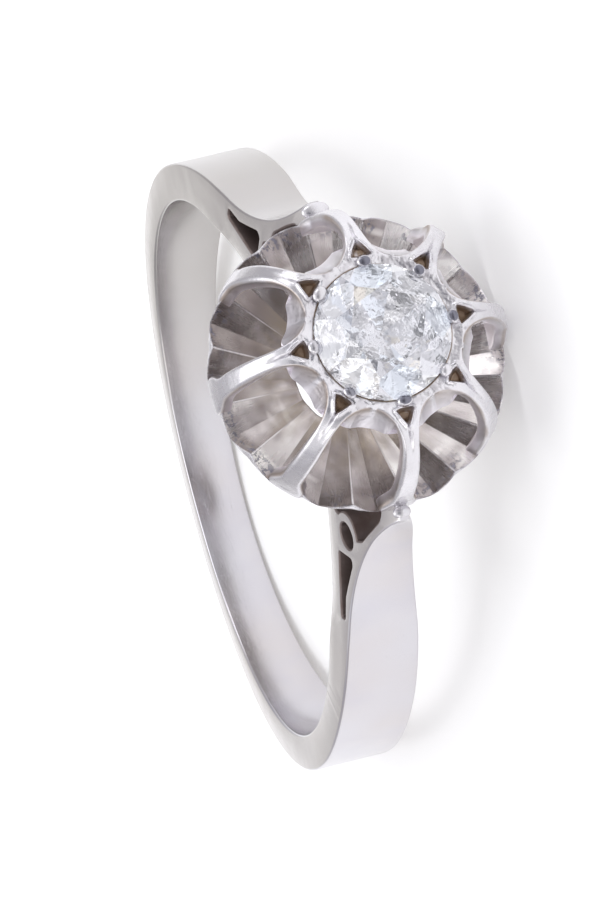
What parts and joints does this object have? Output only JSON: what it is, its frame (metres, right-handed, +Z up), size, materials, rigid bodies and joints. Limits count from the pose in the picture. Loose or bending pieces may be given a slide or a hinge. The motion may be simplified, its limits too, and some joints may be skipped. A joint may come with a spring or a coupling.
{
  "type": "solitaire ring",
  "caption": "Finger ring with one round brilliant stone in a domed claw crown over a fluted cup, on a plain shank with pierced shoulders.",
  "frame": {"origin": "on the surface that the ring lies on, at the middle of its box", "axes": "+Z up as the ring lies on its side, the head towards -Y, the shoulders to -X and +X"},
  "size_m": [0.0192, 0.0268, 0.009],
  "materials": {
    "white_gold": "polished white gold with fine wear marks, satin inside the cup",
    "diamond": "clear faceted brilliant, polished"
  },
  "bodies": {
    "root": {"mounting": "white_gold", "stone": "diamond"}
  },
  "joints": []
}
